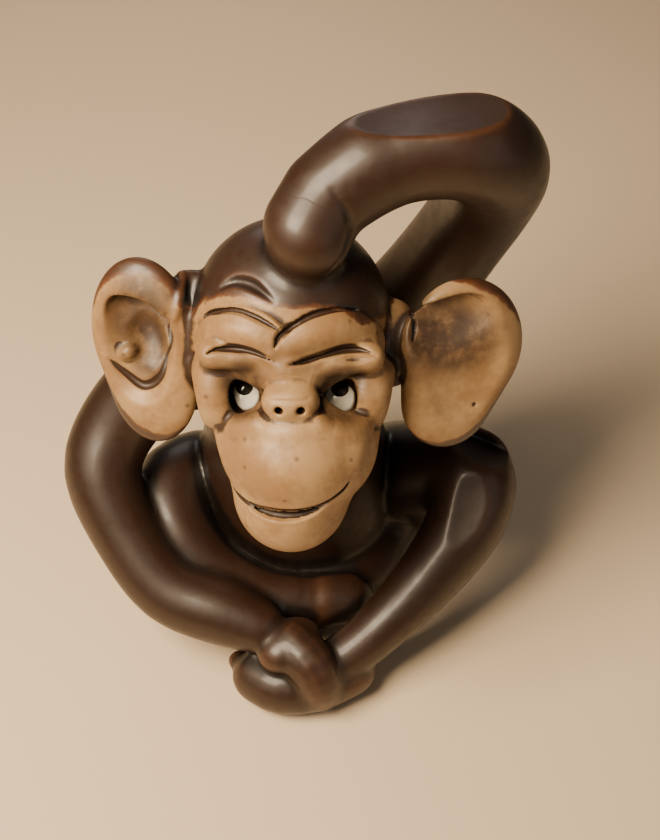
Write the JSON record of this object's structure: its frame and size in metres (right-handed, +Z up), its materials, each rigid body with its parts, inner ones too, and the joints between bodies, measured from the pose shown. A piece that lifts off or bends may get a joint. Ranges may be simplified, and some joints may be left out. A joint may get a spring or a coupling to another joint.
{
  "type": "ceramic monkey figurine",
  "caption": "Small seated ceramic monkey in brown glaze with a pale bare-clay face and ears, one arm looped over to rest its fist on its forehead.",
  "frame": {"origin": "middle of the torso's flat base, on the surface the figure stands on", "axes": "+Z up, -Y the way the face looks, +X the monkey's own left, the side of the raised arm"},
  "size_m": [0.0798, 0.0621, 0.1038],
  "materials": {
    "brown_glaze": "gloss treacle-brown glaze, amber where thin",
    "pale_bisque": "satin pale clay with a thin wash in the hollows",
    "white_enamel": "gloss white",
    "black_enamel": "gloss black"
  },
  "bodies": {
    "root": {"torso_shell": "brown_glaze", "head_shell": "brown_glaze", "brow_mask": "pale_bisque", "muzzle": "pale_bisque", "lower_jaw": "pale_bisque", "nose_button": "pale_bisque", "left_eye": "white_enamel", "right_eye": "white_enamel", "left_pupil": "black_enamel", "right_pupil": "black_enamel", "left_ear": "pale_bisque", "right_ear": "pale_bisque", "left_arm": "brown_glaze", "left_hand": "brown_glaze", "right_arm": "brown_glaze", "right_hand": "brown_glaze", "left_leg": "brown_glaze", "left_foot": "brown_glaze", "right_leg": "brown_glaze", "right_foot": "brown_glaze"}
  },
  "joints": []
}
